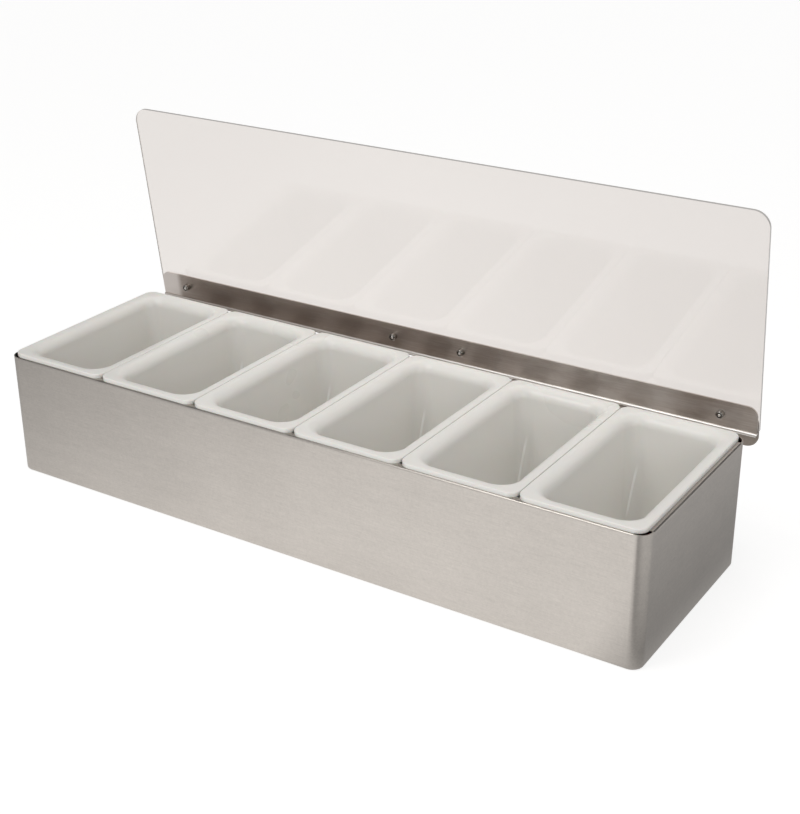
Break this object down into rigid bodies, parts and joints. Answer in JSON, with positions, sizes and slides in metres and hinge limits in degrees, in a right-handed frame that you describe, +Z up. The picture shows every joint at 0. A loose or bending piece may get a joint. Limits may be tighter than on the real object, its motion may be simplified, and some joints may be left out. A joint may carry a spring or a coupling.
{
  "type": "bar garnish tray",
  "caption": "Long brushed steel counter tray with lift-out white pots side by side, hung by their lips, under a clear flat lid hinged along the back.",
  "frame": {"origin": "centre of the box's underside, on the surface that the tray stands on", "axes": "+X along the row of pots towards the viewer's right when facing the tray, +Y from the front wall to the hinged back wall, +Z up"},
  "size_m": [0.502, 0.1765, 0.24],
  "materials": {
    "body_steel": "stainless sheet, fine grain along the length of each wall",
    "hinge_steel": "stainless sheet, fine grain along the length",
    "rivet_steel": "plain stainless rivets, stems and hinge rod",
    "pot_plastic": "white moulded plastic, half gloss",
    "clear_lid": "clear sheet with a faint grey tint and polished faces"
  },
  "bodies": {
    "box": {"body_shell": "body_steel", "hinge_wall_leaf": "hinge_steel", "hinge_pin": "rivet_steel", "wall_rivets": "rivet_steel", "wall_rivet_stems": "rivet_steel"},
    "lid": {"lid_panel": "clear_lid", "lid_front_strip": "hinge_steel", "hinge_lid_leaf": "hinge_steel", "lid_rivets": "rivet_steel", "lid_rivet_stems": "rivet_steel"},
    "pot_1": {"pot_1": "pot_plastic"},
    "pot_2": {"pot_2": "pot_plastic"},
    "pot_3": {"pot_3": "pot_plastic"},
    "pot_4": {"pot_4": "pot_plastic"},
    "pot_5": {"pot_5": "pot_plastic"},
    "pot_6": {"pot_6": "pot_plastic"}
  },
  "joints": [
    {"name": "lid_hinge", "type": "hinge", "parent": "box", "child": "lid", "pos_m": [0, 0.0793, 0.083], "axis": [-1, 0, 0], "range_deg": [-84.75, 0]},
    {"name": "pot_1_lift", "type": "slide", "parent": "box", "child": "pot_1", "axis": [0, 0, 1], "range_m": [0, 0.09]},
    {"name": "pot_2_lift", "type": "slide", "parent": "box", "child": "pot_2", "axis": [0, 0, 1], "range_m": [0, 0.09]},
    {"name": "pot_3_lift", "type": "slide", "parent": "box", "child": "pot_3", "axis": [0, 0, 1], "range_m": [0, 0.09]},
    {"name": "pot_4_lift", "type": "slide", "parent": "box", "child": "pot_4", "axis": [0, 0, 1], "range_m": [0, 0.09]},
    {"name": "pot_5_lift", "type": "slide", "parent": "box", "child": "pot_5", "axis": [0, 0, 1], "range_m": [0, 0.09]},
    {"name": "pot_6_lift", "type": "slide", "parent": "box", "child": "pot_6", "axis": [0, 0, 1], "range_m": [0, 0.09]}
  ]
}
